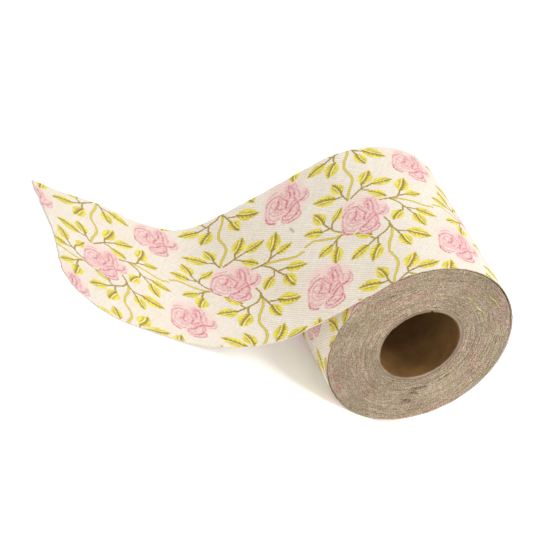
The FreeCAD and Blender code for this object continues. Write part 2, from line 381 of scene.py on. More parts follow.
# The brush lines of a rose, from the strongest to the faintest.
ROSE_DEEP = (
    ((-5.4, 8.2), (-5.9, 6.8)),
    ((-3.5, 5.6), (-3.2, 3.6), (-2.5, 2.2)),
    ((-5.6, 3.4), (-5.2, 2.0)),
    ((-4.8, -3.4), (-2.6, -4.2), (-0.4, -5.4), (1.4, -7.1), (4.4, -8.1)),
    ((-0.7, 0.5), (0.9, -1.6), (2.1, -3.6)),
    ((3.5, 3.8), (4.4, 1.6), (6.0, 0.1), (7.2, -0.3)),
    ((13.7, -3.2), (14.2, -5.6), (13.0, -7.6), (10.7, -8.9)),
    ((-8.8, -3.0), (-5.8, -3.4)),
    ((-3.2, -9.0), (-1.2, -10.8), (1.2, -11.5)),
)
ROSE_MIDDLE = (
    ((-0.5, 0.8), (0.5, 2.2), (1.3, 4.6), (1.7, 6.4), (3.0, 7.3),
     (5.8, 7.4), (8.4, 6.2), (10.4, 5.0), (10.9, 3.8)),
    ((-4.8, 9.4), (-4.2, 8.4), (-3.4, 6.6), (-3.5, 5.6)),
    ((-5.9, 6.8), (-6.0, 5.2), (-5.6, 3.4)),
    ((-5.2, 2.0), (-4.4, 0.4), (-4.6, -1.6), (-4.8, -5.4), (-4.2, -7.6), (-3.2, -9.0)),
    ((-11.0, 0.2), (-10.6, -1.4), (-8.8, -3.0)),
    ((6.4, -0.2), (5.6, -1.8), (4.2, -2.6)),
    ((1.2, -11.5), (3.4, -11.8), (5.4, -10.8), (6.2, -9.2), (5.4, -7.6)),
    ((-3.8, -9.6), (-3.6, -11.8), (-1.8, -13.2), (1.4, -13.7), (4.6, -13.4)),
    ((-3.6, -1.4), (-1.6, -2.6), (0.8, -4.2)),
)
ROSE_FAINT = (
    ((-8.6, 9.4), (-6.6, 9.2), (-5.4, 8.2)),
    ((-8.6, 7.6), (-7.6, 5.2), (-8.2, 2.2), (-6.8, -0.6)),
    ((-12.0, 1.8), (-12.1, -1.4), (-10.6, -4.2), (-7.4, -5.0)),
    ((-2.6, 8.2), (-2.0, 6.2), (-1.4, 4.0)),
    ((0.8, 7.6), (0.2, 5.8), (-0.6, 3.6)),
    ((5.2, 4.9), (7.4, 4.6), (8.7, 3.2), (8.4, 1.4)),
    ((2.6, 5.6), (2.4, 2.8), (3.0, 0.4), (2.6, -1.4)),
    ((10.9, 3.8), (12.3, 1.4), (12.9, -0.6), (13.7, -3.2)),
    ((9.8, 2.4), (10.8, -0.8), (10.2, -3.0), (8.6, -4.4), (4.6, -5.4)),
    ((12.0, -2.6), (12.4, -5.0), (10.8, -6.9), (8.4, -7.6)),
    ((2.8, -3.2), (5.4, -3.4), (7.6, -2.6), (8.8, -0.8)),
    ((-3.0, -6.0), (-3.0, -7.6), (-1.6, -9.0)),
    ((0.8, -9.6), (3.2, -9.8), (4.4, -8.8)),
    ((4.6, -13.4), (6.8, -12.0), (7.2, -10.2), (6.6, -8.8)),
    ((2.4, 9.9), (5.6, 9.4), (8.2, 8.4)),
)
# A small grey slip of the printer's roller, in one place only.
SLIP = (((36.2, 14.3), (36.7, 17.2)),)

CREAM = paint(241, 235, 225)
CREAM_WARM = paint(238, 230, 217)
# a darker thread colour: used for slubs and flecks, and as painted shade in the weave's hollows
THREAD_SHADE = paint(190, 172, 144)
PINK_WASH = paint(243, 206, 204)
PINK_LINE = paint(204, 88, 124)
LEAF_YELLOW = paint(236, 224, 66)
LEAF_GREEN = paint(214, 202, 58)
LEAF_DARK = paint(130, 96, 34)
LEAF_LIGHT = paint(246, 240, 200)
VINE_EDGE = paint(176, 152, 40)
VINE_MIDDLE = paint(216, 200, 56)
STEM = paint(156, 134, 16)
SLIP_GREY = paint(160, 150, 128)


def nearest_leaf(g, point):
    """Place in the nearest leaf's own frame: x from -1 at its stem to 1 at its tip, y to +-1."""
    best_place, best_far = None, None
    for stem, tip, width in LEAVES:
        middle = ((stem[0] + tip[0]) / 2 + LEAF_SHIFT[0], (stem[1] + tip[1]) / 2 + LEAF_SHIFT[1])
        angle = math.atan2(tip[1] - stem[1], tip[0] - stem[0])
        half = (math.dist(stem, tip) / 2 + 0.3, width * LEAF_SPREAD / 2)
        place = g.in_oval(point, middle, half, angle)
        far = g.vector("DOT_PRODUCT", place, place)
        if best_place is None:
            best_place, best_far = place, far
            continue
        nearer = g.math("LESS_THAN", far, best_far)
        best_place = g.mix(nearer, best_place, place, "VECTOR")
        best_far = g.math("MINIMUM", best_far, far)
    return best_place


def line_distance(g, point, lines):
    """Distance in millimetres to the nearest of some lines, each given by its points."""
    best = None
    for line in lines:
        for start, end in zip(line, line[1:]):
            angle = math.atan2(end[1] - start[1], end[0] - start[0])
            place = g.turned(point, start, angle)
            held = g.vector("MINIMUM", place, (start[0] + math.dist(start, end), start[1], 0))
            held = g.vector("MAXIMUM", held, (*start, 0))
            far = g.vector("DISTANCE", place, held)
            best = far if best is None else g.math("MINIMUM", best, far)
    return best


def in_cell(g, u, v, middle):
    """The place brought into the repeat that is centred on middle."""
    u = g.plus(u, -middle[0])
    v = g.plus(v, -middle[1])
    along = g.math("FLOOR", g.times_plus(u, 1 / REPEAT_ALONG[0], 0.5))
    u = g.times_plus(along, -REPEAT_ALONG[0], u)
    v = g.times_plus(along, -REPEAT_ALONG[1], v)
    across = g.math("FLOOR", g.times_plus(v, 1 / REPEAT_ACROSS[1], 0.5))
    u = g.times_plus(across, -REPEAT_ACROSS[0], u)
    v = g.times_plus(across, -REPEAT_ACROSS[1], v)
    return g.combine(u, v)


def rose_tones(g, place):
    """How much pink wash and how much pink line a rose has at a place in its own frame."""
    nearest = None
    for middle, size, turn in PETALS:
        petal = g.in_oval(place, middle, size, math.radians(turn))
        far = g.vector("LENGTH", petal)
        nearest = far if nearest is None else g.math("MINIMUM", nearest, far)
    body = g.step(nearest, 1.08, 0.9)
    above = g.vector("LENGTH", g.vector("ADD", place, (0.5, -2.4, 0.0)))
    halo = g.step(above, 14.5, 9.5, 0.0, 0.88)
    deep_far = line_distance(g, place, ROSE_DEEP)
    middle_far = line_distance(g, place, ROSE_MIDDLE)
    faint_far = line_distance(g, place, ROSE_FAINT)
    line = g.step(deep_far, 1.05, 0.35)
    line = g.larger(line, g.step(middle_far, 0.88, 0.3, 0.0, 0.9))
    line = g.larger(line, g.step(faint_far, 0.8, 0.25, 0.0, 0.7))
    glow = g.step(deep_far, 2.6, 0.5, 0.0, 0.4)
    glow = g.larger(glow, g.step(middle_far, 2.0, 0.4, 0.0, 0.28))
    line = g.larger(line, g.times(glow, body))
    # fine brush strokes that follow the petals' outlines
    wobble = g.times(g.noise(place, 0.2, 1.0), 20.0)
    brush = g.sine(g.times_plus(nearest, 22.0, wobble))
    strokes = g.times(g.step(brush, 0.2, 0.95, 0.0, 0.6), body)
    line = g.larger(line, strokes)
    body = g.times(body, g.step(brush, -0.9, 0.1, 0.35, 1.0))
    return body, halo, line


def leaf_tones(g, cell):
    """Whether a place is in a leaf, how dark its veins are, and how light its slit is."""
    leaf = nearest_leaf(g, cell)
    along, across, _ = g.separate(leaf)
    half_across = g.absolute(across)
    squared = g.times(along, along)
    outline = g.math("SUBTRACT", 1.0, squared)
    outline = g.times(outline, g.times_plus(along, -0.25, 1.08))
    ripple = g.sine(g.times_plus(half_across, 6.0, g.times(along, 24.0)))
    edge = g.math("SUBTRACT", half_across, outline)
    edge = g.times_plus(ripple, 0.07, edge)
    inside = g.step(edge, 0.1, -0.04)
    bow = g.times_plus(squared, -0.26, 0.14)
    from_rib = g.math("SUBTRACT", across, bow)
    rib = g.step(g.absolute(from_rib), 0.2, 0.06, 0.0, 0.9)
    hatch = g.sine(g.times_plus(across, -9.0, g.times(along, 20.0)))
    tooth = g.times_plus(hatch, 0.14, 0.3)
    one_side = g.step(from_rib, -0.02, 0.08)
    past_tooth = g.math("SUBTRACT", from_rib, tooth)
    shade = g.times(one_side, g.step(past_tooth, 0.08, -0.06))
    dark = g.larger(rib, g.times(shade, 0.72))
    dark = g.times(dark, g.step(along, 1.0, 0.7))
    beside = g.absolute(g.plus(from_rib, 0.28))
    slit = g.times(g.step(beside, 0.16, 0.06), g.step(g.absolute(along), 0.62, 0.36))
    dashes = g.sine(g.times(along, 26.0))
    slit = g.times(slit, g.step(dashes, -0.5, 0.5, 0.25, 1.0))
    second = g.absolute(g.plus(from_rib, 0.5))
    second = g.step(second, 0.14, 0.05)
    second = g.times(second, g.step(g.absolute(along), 0.7, 0.3, 0.0, 0.6))
    dark = g.larger(dark, second)
    return inside, dark, slit


def new_group(name, *outputs):
    """A node group that takes a place in millimetres and gives the outputs, each a name and kind."""
    tree = bpy.data.node_groups.new(name, "ShaderNodeTree")
    tree.interface.new_socket("Place", in_out="INPUT", socket_type="NodeSocketVector")
    for label, kind in outputs:
        tree.interface.new_socket(label, in_out="OUTPUT", socket_type=f"NodeSocket{kind}")
    g = Graph(tree)
    return tree, g, g.node("NodeGroupInput").outputs[0]


def end_group(g, *values):
    out = g.node("NodeGroupOutput")
    for socket, value in zip(out.inputs, values):
        g.feed(socket, value)


def print_group():
    """The printed pattern: place on the cloth in millimetres in, colour and ink cover out."""
    tree, g, place = new_group("floral_print", ("Colour", "Color"), ("Cover", "Float"))

    # A printed edge wanders a little, as ink does over the threads.
    wander_u = g.noise(place, 0.8, 3.0)
    wander_v = g.noise(g.vector("ADD", place, (37.0, 11.0, 5.0)), 0.8, 3.0)
    shift_u = g.times_plus(wander_u, 1.0, -0.5)
    shift_v = g.times_plus(wander_v, 1.0, -0.5)
    u, v, _ = g.separate(g.vector("ADD", place, g.combine(shift_u, shift_v)))
    u = g.plus(u, -CELL_MIDDLE[0])
    v = g.plus(v, -CELL_MIDDLE[1])
    cell = in_cell(g, u, v, (0.0, 0.0))

    # roses
    first, second = (in_cell(g, u, v, middle) for middle in ROSES)
    nearer = g.math("LESS_THAN", g.vector("LENGTH", second), g.vector("LENGTH", first))
    rose = g.mix(nearer, first, second, "VECTOR")
    body, halo, line = rose_tones(g, rose)
    patchy = g.step(g.noise(place, 0.9, 3.0, 0.7), 0.38, 0.56, 0.6, 1.0)
    line = g.times(line, patchy)
    stipple = g.step(g.noise(place, 1.6, 3.0, 0.7), 0.42, 0.58, 0.35, 1.0)
    filled = g.step(g.noise(place, 0.6, 4.0, 0.7), 0.4, 0.58, 0.4, 1.0)
    wash = g.larger(g.times(body, filled), g.times(halo, stipple))
    ink = g.tint(line, PINK_WASH, PINK_LINE)
    cover = g.larger(wash, line)
    slip = g.step(line_distance(g, g.combine(u, v), SLIP), 1.1, 0.3, 0.0, 0.85)
    ink = g.tint(slip, ink, SLIP_GREY)
    cover = g.larger(cover, slip)
    behind = g.math("SUBTRACT", 1.0, g.step(body, 0.0, 0.4))

    # vines and stems run behind the rose
    vine_far = line_distance(g, cell, VINES)
    vine = g.times(g.step(vine_far, 0.9, 0.58), behind)
    vine_colour = g.tint(g.step(vine_far, 0.15, 0.75, 0.0, 0.85), VINE_MIDDLE, VINE_EDGE)
    ink = g.tint(vine, ink, vine_colour)
    cover = g.larger(cover, vine)
    stem = g.times(g.step(line_distance(g, cell, STEMS), 0.72, 0.34), behind)
    ink = g.tint(stem, ink, STEM)
    cover = g.larger(cover, stem)

    # leaves
    inside, dark, slit = leaf_tones(g, cell)
    leaf_colour = g.tint(g.step(g.noise(place, 0.28, 2.0), 0.4, 0.62), LEAF_YELLOW, LEAF_GREEN)
    leaf_colour = g.tint(g.times(slit, 0.6), leaf_colour, LEAF_LIGHT)
    leaf_colour = g.tint(dark, leaf_colour, LEAF_DARK)
    inside = g.times(inside, behind)
    ink = g.tint(inside, ink, leaf_colour)
    cover = g.larger(cover, inside)
    end_group(g, ink, cover)
    return tree


# The canvas is cut on the bias: its ribs lean over to the strip.
RIB_LEAN = math.radians(39)
RIB_PITCH = 1.3  # millimetres from one rib to the next
THREAD_PITCH = 0.7  # millimetres from one thread that crosses the ribs to the next
RIB_SHARE = 0.6  # of the relief that is ribs, against the single threads


def weave_group():
    """Canvas weave: place in millimetres in, height from 0 to 1 and thread tone out."""
    tree, g, place = new_group("canvas_weave", ("Height", "Float"), ("Tone", "Float"))
    wobble = g.times_plus(g.noise(place, 0.35, 2.0), 0.5, -0.25)
    other = g.times(wobble, -1.0)
    moved = g.vector("ADD", g.turned(place, (0.0, 0.0), RIB_LEAN), g.combine(wobble, other))
    u, v, _ = g.separate(g.vector("MULTIPLY", moved, (math.pi / THREAD_PITCH, math.pi / RIB_PITCH, 1.0)))
    wave_u, wave_v = g.math("COSINE", u), g.math("COSINE", v)
    over = g.step(g.times(wave_u, wave_v), -0.1, 0.1)
    swell_u, swell_v = g.absolute(wave_u), g.absolute(wave_v)
    warp = g.times(swell_u, g.times_plus(swell_v, 0.45, 0.55))
    weft = g.times(swell_v, g.times_plus(swell_u, 0.45, 0.55))
    height = g.mix(RIB_SHARE, g.mix(over, weft, warp), swell_v)
    warp_slub = g.noise(g.vector("MULTIPLY", moved, (0.1, 1.4, 1.0)), 1.0, 2.0)
    weft_slub = g.noise(g.vector("MULTIPLY", moved, (1.4, 0.1, 1.0)), 1.0, 2.0)
    tone = g.mix(over, warp_slub, weft_slub)
    end_group(g, height, tone)
    return tree


def new_material(name):
    material = bpy.data.materials.new(name)
    material.use_nodes = True
    material.node_tree.nodes.clear()
    return material, Graph(material.node_tree)


def finish_material(g, base, roughness, height=None, depth=0.1, strength=1.0, sheen=0.0, specular=0.3):
    """Ends a material's graph; height is the bump from 0 to 1, and depth is its size in mm."""
    normal = None
    if height is not None:
        made = g.node("ShaderNodeBump")
        made.inputs["Strength"].default_value = strength
        made.inputs["Distance"].default_value = depth * MM
        g.feed(made.inputs["Height"], height)
        normal = made.outputs[0]
    shader = g.node("ShaderNodeBsdfPrincipled")
    g.feed(shader.inputs["Base Color"], base)
    g.feed(shader.inputs["Roughness"], roughness)
    shader.inputs["Specular IOR Level"].default_value = specular
    shader.inputs["Sheen Weight"].default_value = sheen
    shader.inputs["Sheen Roughness"].default_value = 0.5
    g.feed(shader.inputs["Normal"], normal)
    out = g.node("ShaderNodeOutputMaterial")
    g.feed(out.inputs[0], shader.outputs[0])


def cloth_material(name, pattern, weave, ink_strength):
    """The printed canvas; ink_strength is 1 on the face, and small on the back."""
    material, g = new_material(name)
    uv = g.node("ShaderNodeUVMap", uv_map="cloth").outputs[0]
    place = g.scaled(uv, 1000.0)
    woven = g.node("ShaderNodeGroup", node_tree=weave)
    g.feed(woven.inputs[0], place)
    height, tone = woven.outputs
    inked = g.node("ShaderNodeGroup", node_tree=pattern)
    g.feed(inked.inputs[0], place)
    cover = g.times(inked.outputs[1], ink_strength)
    cover = g.times(cover, g.step(height, 0.1, 0.6, 0.82, 1.0))
    ground = g.tint(g.step(g.noise(place, 0.03, 3.0), 0.35, 0.65), CREAM, CREAM_WARM)
    ground = g.tint(g.step(tone, 0.35, 0.7, 0.0, 0.34), ground, THREAD_SHADE)
    base = g.tint(cover, ground, inked.outputs[0])
    # painted shade: the low places between the threads are darker
    base = g.tint(g.step(height, 0.0, 0.65, 0.5, 0.0), base, THREAD_SHADE)
    roughness = g.step(tone, 0.2, 0.8, 0.82, 0.95)
    finish_material(g, base, roughness, height, depth=0.22, strength=0.9, sheen=0.1, specular=0.2)
    return material


# ---------------------------------------------------------------- the strip of cloth
CLOTH = 0.5 * MM  # thickness of one layer
TAKEOFF = math.radians(62.5)  # from the top of the roll, where the cloth leaves it
TAKEOFF_LIFT = 0.5 * MM  # the top layer stands this much higher there than half a turn on
SLOPE_LENGTH = 45 * MM
BEND_RADIUS = 63 * MM  # of the cloth's underside, where it comes down to the table
CORNER = 30 * MM  # radius of the round near corner of the cut end
CUT_BULGE = 5 * MM  # the cut's middle stands this much further out than its far end
CUT_BULGE_AT = -20 * MM  # the y at which the cut stands furthest out
CUT_TURN_AT = 8 * MM  # the y beyond which it is straight
HIDDEN_TURN = math.radians(7)  # of the strip's inner end, under its own top layer
RIM_OUT = (0.32, 0.12)  # millimetres the cut edge stands out, on the free part and on the roll
RIM_DOWN = (0.24, 0.0)  # millimetres it leans down, on the free part and on the roll
FLAT_END = 20 * MM  # the last stretch, where the rows of points turn to follow the cut end
STRIP_STEP = 1.2 * MM  # between the points of the sheet
PATH_STEP = 0.25 * MM  # between the points of its middle line


def roll_surface(turn):
    """Outer radius of the strip, by the angle back over the roll from where it leaves."""
    lift = TAKEOFF_LIFT * (1 - smooth(math.radians(5), math.radians(40), turn))
    tuck = 0.06 * MM * smooth(math.radians(325), math.radians(366), turn)
    return ROLL + lift - tuck


def strip_path():
    """Middle line of the strip from its hidden end to its cut end.

    Gives the points (x, z), the printed side's directions, the distance s along the printed
    face from the top of the roll, and the distance along the line.
    """
    turn = np.arange(2 * math.pi + HIDDEN_TURN, 0, -PATH_STEP / ROLL)
    around = TAKEOFF - turn
    radius = roll_surface(turn) - CLOTH / 2
    roll = np.stack([-radius * np.sin(around), radius * np.cos(around)], axis=1)

    heading = np.array([-math.cos(TAKEOFF), -math.sin(TAKEOFF)])
    outward = np.array([-math.sin(TAKEOFF), math.cos(TAKEOFF)])
    start = outward * (ROLL + TAKEOFF_LIFT - CLOTH / 2)
    slope = start + np.arange(0, SLOPE_LENGTH, PATH_STEP)[:, None] * heading
    inner = BEND_RADIUS - CLOTH / 2
    middle = start + heading * SLOPE_LENGTH + outward * inner
    angle = np.arange(TAKEOFF, 0, -PATH_STEP / inner)
    bend = middle + inner * np.stack([np.sin(angle), -np.cos(angle)], axis=1)
    flat_x = np.arange(middle[0], TAIL_FAR + CORNER, -PATH_STEP)
    flat = np.stack([flat_x, np.full(len(flat_x), middle[1] - inner)], axis=1)
    points = np.concatenate([roll, slope, bend, flat])

    # The free part has no sudden change of bend.
    span = 36
    kernel = np.exp(-0.5 * (np.arange(-span, span + 1) / (span / 3)) ** 2)
    kernel /= kernel.sum()
    padded = np.pad(points, ((span, span), (0, 0)), mode="edge")
    eased = np.stack([np.convolve(padded[:, i], kernel, mode="valid") for i in range(2)], axis=1)
    number = np.arange(len(points))
    share = smooth(len(roll) - 8, len(roll) + 40, number)
    share = share * smooth(len(points) - 2, len(points) - span, number)
    points = points + (eased - points) * share[:, None]

    along = np.gradient(points, axis=0)
    length = np.concatenate([[0], np.cumsum(np.linalg.norm(np.diff(points, axis=0), axis=1))])
    along /= np.linalg.norm(along, axis=1)[:, None]
    up = np.stack([along[:, 1], -along[:, 0]], axis=1)
    leave = len(roll)
    s = ROLL * TAKEOFF + length - length[leave]
    s[:leave] = ROLL * around
    return points, up, s, length


def cut_end(y):
    """The x at which the strip is cut, by y: nearly straight, with a round near corner."""
    x = TAIL_FAR + CUT_BULGE * ramp(CUT_BULGE_AT, CUT_TURN_AT, y)
    into = np.clip(-HALF_WIDTH + CORNER - y, 0, CORNER)
    return x + CORNER - np.sqrt(np.maximum(CORNER ** 2 - into ** 2, 0))


def strip_columns():
    """Places across the strip, closer together at the near edge, where the corner is cut."""
    steps = [0.0]
    while steps[-1] < HALF_WIDTH * 2:
        gap = min(STRIP_STEP, (0.05 + 0.1 * len(steps)) * MM)
        steps.append(steps[-1] + gap)
    steps = np.array(steps)
    return steps / steps[-1] * HALF_WIDTH * 2 - HALF_WIDTH


def strip_lift(s, y):
    """How far the free cloth stands off its plain path, towards its printed side."""
    near = 1 - smooth(-HALF_WIDTH, 0.2 * HALF_WIDTH, y)
    far = smooth(-0.2 * HALF_WIDTH, HALF_WIDTH, y)
    free = smooth(75 * MM, 110 * MM, s)
    rise = 0.8 * MM * near * hump(150 * MM, 22 * MM, s)
    rise = rise + 1.8 * MM * far * hump(180 * MM, 18 * MM, s)
    rise = rise - 2.4 * MM * far * hump(134 * MM, 15 * MM, s)
    ripple = 0.25 * MM * (1 + waves(11, s, 34 * MM, y=y))
    return free * (rise + ripple)


def print_place(s, y):
    """Where on the print a place of the strip is: cloth on the bias doesn't lie quite true."""
    out_tail = smooth(158 * MM, 212 * MM, s)
    skew = smooth(78 * MM, 98 * MM, s) * 1.0 * MM - smooth(114 * MM, 156 * MM, s) * 7.6 * MM
    skew = skew + smooth(160 * MM, 205 * MM, s) * 3.9 * MM
    near = 1 - smooth(-40 * MM, -12 * MM, y)
    near = near * (0.6 + 1.4 * hump(172 * MM, 22 * MM, s))
    tip = smooth(200 * MM, 218 * MM, s) * smooth(0, 30 * MM, y)
    far = smooth(5 * MM, 35 * MM, y) * hump(148 * MM, 16 * MM, s)
    across = y + 1.3 * MM + skew * (1 - 0.25 * y / HALF_WIDTH) + MM * (near + 0.8 * far - 1.6 * tip)
    along = s - (4.4 * MM - 0.025 * y) * out_tail - 2.0 * MM * tip
    return along, across


def strip_rows(length, flat_from, flat_x, end_x):
    """Distance along the middle line of each point of the sheet, by row and column."""
    rows_body = int(round(length[flat_from] / STRIP_STEP))
    rows_end = int(round((flat_x - TAIL_FAR) / STRIP_STEP))
    body = np.linspace(0, length[flat_from], rows_body, endpoint=False)
    share = np.linspace(0, 1, rows_end + 1)
    tail = length[flat_from] + share[:, None] * (flat_x - end_x)[None, :]
    return np.concatenate([np.repeat(body[:, None], len(end_x), axis=1), tail])


def trim_edges(s, y):
    """The y of each point once the long edges are cut."""
    # the edges wander by a thread or so
    edge_near = waves(3, s, 5 * MM) * 0.16 * MM + waves(4, s, 40 * MM) * 0.2 * MM
    edge_far = waves(5, s, 5 * MM) * 0.16 * MM + waves(6, s, 40 * MM) * 0.2 * MM
    near = 1 - smooth(-HALF_WIDTH, -HALF_WIDTH + 12 * MM, y)
    far = smooth(HALF_WIDTH - 12 * MM, HALF_WIDTH, y)
    y = y + near * edge_near + far * edge_far
    # the free part is cut a little narrower than the roll
    slim_near = 3.6 * MM * smooth(100 * MM, 145 * MM, s) * (1 - 0.4 * smooth(165 * MM, 200 * MM, s))
    slim_far = 1.5 * MM * hump(136 * MM, 20 * MM, s)
    y = y + slim_near * (1 - smooth(-HALF_WIDTH, -HALF_WIDTH + 25 * MM, y))
    return y - slim_far * smooth(HALF_WIDTH - 25 * MM, HALF_WIDTH, y)


def edge_ring(rows, columns):
    """Numbers of the points round the edge of a grid, in order."""
    return np.concatenate([
        np.arange(columns),
        np.arange(1, rows) * columns + columns - 1,
        (rows - 1) * columns + np.arange(columns - 2, -1, -1),
        np.arange(rows - 2, 0, -1) * columns,
    ])


def edge_line(top, bottom):
    """The middle line of the cut edge, between its two faces' points, with its directions out and up."""
    middle = (top + bottom) / 2
    along = np.roll(middle, 1, axis=0) - np.roll(middle, -1, axis=0)
    up = (top - bottom) / CLOTH
    outward = np.cross(along, up)
    outward /= np.maximum(np.linalg.norm(outward, axis=1), 1e-12)[:, None]
    return middle, outward, up


def strip_faces(rows, columns, ring):
    """Quads of the face, the back and the rim's upper and lower halves."""
    count = rows * columns
    here, there = np.arange(len(ring)), (np.arange(len(ring)) + 1) % len(ring)
    rim_here, rim_there = count * 2 + here, count * 2 + there
    face = grid_faces(rows, columns)
    back = face[:, ::-1] + count
    upper = np.stack([ring[here], rim_here, rim_there, ring[there]], axis=1)
    lower = np.stack([rim_here, ring[here] + count, ring[there] + count, rim_there], axis=1)
    return face, back, upper, lower


def make_strip(face, back, roll_edge, tail_edge):
    """The printed outer turn and free tail, as one sheet with a face, a back and cut edges.

    Gives the sheet, its length, its flat area, and the middle line of its edge with its
    directions out and up.
    """
    path, up, s, length = strip_path()
    y = strip_columns()
    end_x = cut_end(y)
    flat_from = np.argmax(length > length[-1] - FLAT_END)
    flat_x = path[flat_from, 0]
    at = strip_rows(length, flat_from, flat_x, end_x)
    beyond = np.maximum(at - length[-1], 0)
    px, pz, ux, uz, ss = (
        np.interp(at, length, values) for values in (path[:, 0], path[:, 1], up[:, 0], up[:, 1], s)
    )
    ss = ss + beyond
    yy = trim_edges(ss, np.repeat(y[None, :], len(at), axis=0))
    # the cut end wanders by a thread or so too
    at_end = smooth(length[-1] - 8 * MM, length[-1] + 10 * MM, at)
    px = px - beyond + at_end * waves(8, yy, 6 * MM) * 0.35 * MM
    lift = strip_lift(ss, yy)

    def layer(offset):
        out = lift + offset
        return np.stack([px + ux * out, yy, pz + uz * out], axis=-1).reshape(-1, 3)

    top, bottom = layer(CLOTH / 2), layer(-CLOTH / 2)
    rows, columns = yy.shape
    ring = edge_ring(rows, columns)
    middle, outward, normal = edge_line(top[ring], bottom[ring])
    # the rim stands out a little, so that the cut edge is round; on the free part it leans down
    free = ss.ravel()[ring] > ROLL * TAKEOFF
    stands_out = np.where(free, *RIM_OUT)[:, None] * MM
    leans_down = np.where(free, *RIM_DOWN)[:, None] * MM
    rim = middle + outward * stands_out - normal * leans_down
    points = np.concatenate([top, bottom, rim])
    quads = strip_faces(rows, columns, ring)
    piece = mesh_object("printed_strip", points, np.concatenate(quads))
    mesh = piece.data
    flat_place = np.stack(print_place(ss, yy), axis=-1).reshape(-1, 2)
    set_uv(piece, "cloth", np.concatenate([flat_place, flat_place, flat_place[ring]]))
    # weight of the shade that the edge material paints: 0.8 on the face and back, 0.5 along the rim
    painted_edge_shade = np.full(len(points), 0.8)
    painted_edge_shade[2 * rows * columns:] = 0.5
    set_number(piece, "painted_edge_shade", painted_edge_shade)
    set_number(piece, "layer", np.full(len(points), WOUND_TURNS + 1.0))
    run = (at + yy).ravel()
    set_number(piece, "run", np.concatenate([run, run, run[ring]]))
    for material in (face, back, roll_edge, tail_edge):
        mesh.materials.append(material)
    rim_index = np.where(free, 3, 2)
    index = np.concatenate([np.repeat([0, 1], len(quads[0])), rim_index, rim_index])
    mesh.polygons.foreach_set("material_index", index.astype(np.int32))
    mesh.set_sharp_from_angle(angle=math.radians(35))
    bake_strip(mesh, at, yy, ring, rows, columns)
    # area of the flat cut: everything but the corner and the slanted end
    total = length[flat_from] * HALF_WIDTH * 2 + float(np.trapz(flat_x - end_x, y))
    whole = length[flat_from] + flat_x - TAIL_FAR
    return piece, whole, total, (middle, outward, normal)


BAKE_BLOCKS = 3  # the strip's length is laid out in this many pieces, side by side
BAKE_WIDTH = 312 * MM
BAKE_GAP = 2 * MM


def bake_strip(mesh, at, yy, ring, rows, columns):
    """A second, flat layout of the strip: the face in full size, the back in half, then the rim."""
    per_block = -(-(rows - 1) // BAKE_BLOCKS)
    face_row = np.arange(rows - 1).repeat(columns - 1)
    block = face_row // per_block
    corners = grid_faces(rows, columns)
    begin = at[np.minimum(block * per_block, rows - 1), 0]
    across = yy.ravel()[corners] + HALF_WIDTH
    along = at.ravel()[corners] - begin[:, None]
    face = np.stack([across + block[:, None] * (2 * HALF_WIDTH + BAKE_GAP), along], axis=-1)
    lift = along.max() + BAKE_GAP
    back = np.stack([across / 2 + block[:, None] * (HALF_WIDTH + BAKE_GAP), along / 2 + lift], axis=-1)
    back = back[:, ::-1]
    number = np.arange(len(ring))
    reach = along.max() / 2
    row = number * STRIP_STEP // reach
    low = lift + number * STRIP_STEP % reach
    left = BAKE_BLOCKS * (HALF_WIDTH + BAKE_GAP) + row * 2.4 * MM
    unit = 0.8 * MM
    rim = []
    for first, second in ((0, 1), (1, 2)):
        a, b = left + first * unit, left + second * unit
        top = low + STRIP_STEP
        corner = [np.stack(pair, axis=-1) for pair in ((a, low), (b, low), (b, top), (a, top))]
        rim.append(np.stack(corner, axis=1))
    layout = np.concatenate([face, back, *rim]).reshape(-1, 2) / BAKE_WIDTH
    mesh.uv_layers.new(name="OFBake").data.foreach_set("uv", layout.astype(np.float32).ravel())


# ---------------------------------------------------------------- the wound cloth
STARTER = 0.12 * MM  # the tape that holds the first turn
WOUND_STEPS = 200  # points round one turn
WOUND_GAP = 0.03 * MM  # between one layer and the next
WOUND_START = math.radians(-20)
STEP_LAYERS = 12  # the first edge of the sheet shows through this many layers
WOUND_EASE = 0.04 * MM  # the last layer is a hair further out than its solid
# Places on the near end where the edges are scuffed: x, z, half sizes, turn in degrees, depth.
SCUFFS = (
    (20.5, -22.6, 4.8, 1.1, 36, 0.9),
    (19.8, -26.8, 3.6, 1.1, 10, 0.8),
    (19.2, -32.3, 4.2, 1.0, 18, 0.9),
    (19.6, -33.9, 3.0, 0.9, 22, 0.8),
    (-37.5, 17.8, 4.4, 0.7, 56, 0.6),
    (-41.6, 12.9, 3.6, 0.7, 56, 0.5),
    (26.5, 8.8, 2.8, 0.6, -40, 0.5),
    (19.4, -29.6, 3.6, 0.9, 18, -0.8),
)
SCUFF_SHARE = (0.2, 0.15, 0.2, 0.1, 0.08, 0.06, 0.06, 0.15)  # of the loose threads
# A layer's cut edge, rounded: across and down, in half thicknesses and thicknesses.
EDGE_SHAPE = ((-1.0, -0.6), (-0.55, -0.12), (0.55, -0.12), (1.0, -0.6))


def scuff_depth(x, z):
    depth = np.zeros(x.shape)
    for at_x, at_z, half_long, half_short, turn, deep in SCUFFS:
        lean = math.radians(turn)
        u = (x - at_x * MM) * math.cos(lean) + (z - at_z * MM) * math.sin(lean)
        v = -(x - at_x * MM) * math.sin(lean) + (z - at_z * MM) * math.cos(lean)
        far = (u / (half_long * MM)) ** 2 + (v / (half_short * MM)) ** 2
        depth = depth + deep * MM * np.exp(-far * 1.5)
    return depth


